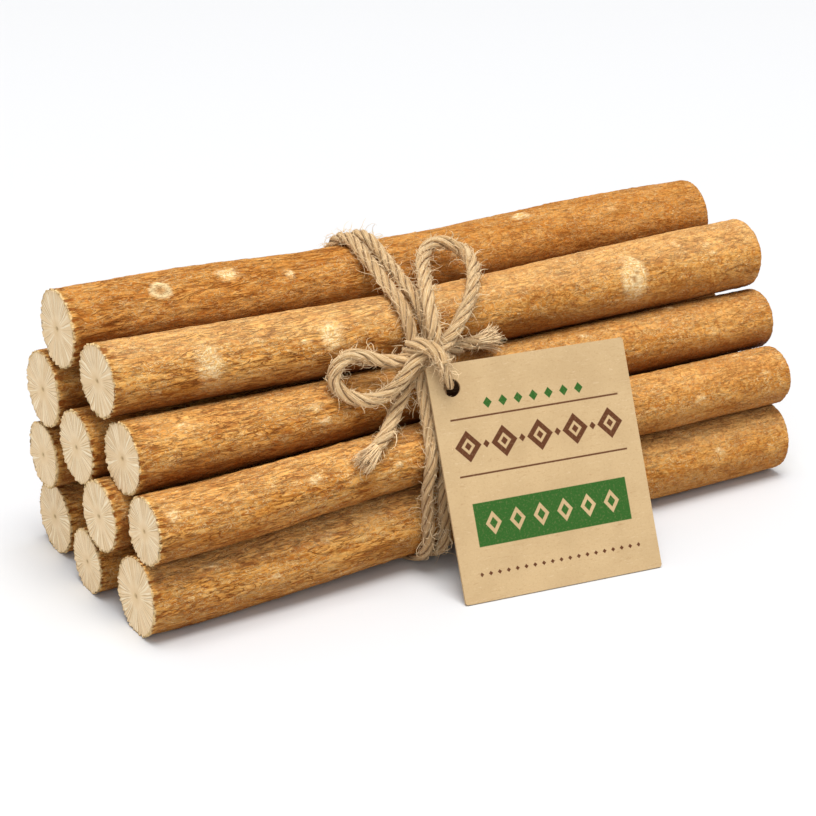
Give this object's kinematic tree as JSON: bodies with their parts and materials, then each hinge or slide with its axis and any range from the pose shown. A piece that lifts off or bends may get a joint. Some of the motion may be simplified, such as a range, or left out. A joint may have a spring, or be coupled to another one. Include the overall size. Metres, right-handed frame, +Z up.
{
  "type": "miswak stick bundle",
  "caption": "Bundle of miswak root sticks lying on its side, tied round the middle with a bow of jute twine that holds a plain kraft card tag.",
  "frame": {"origin": "middle of the bundle's box, on the surface that the bundle lies on", "axes": "+X along the sticks towards the far ends, +Z up, the tag on the -Y side"},
  "size_m": [0.1534, 0.0762, 0.0591],
  "materials": {
    "bark": "rough, matte, golden tan bark over pale wood",
    "jute": "fuzzy twisted jute, matte",
    "kraft_card": "uncoated kraft card, matte"
  },
  "bodies": {
    "root": {"stick_front_bottom": "bark", "stick_front_lower": "bark", "stick_front_upper": "bark", "stick_front_top": "bark", "stick_middle_bottom": "bark", "stick_middle_centre": "bark", "stick_middle_top": "bark", "stick_back_bottom": "bark", "stick_back_lower": "bark", "stick_back_upper": "bark", "stick_back_top": "bark", "twine": "jute", "tag": "kraft_card"}
  },
  "joints": []
}
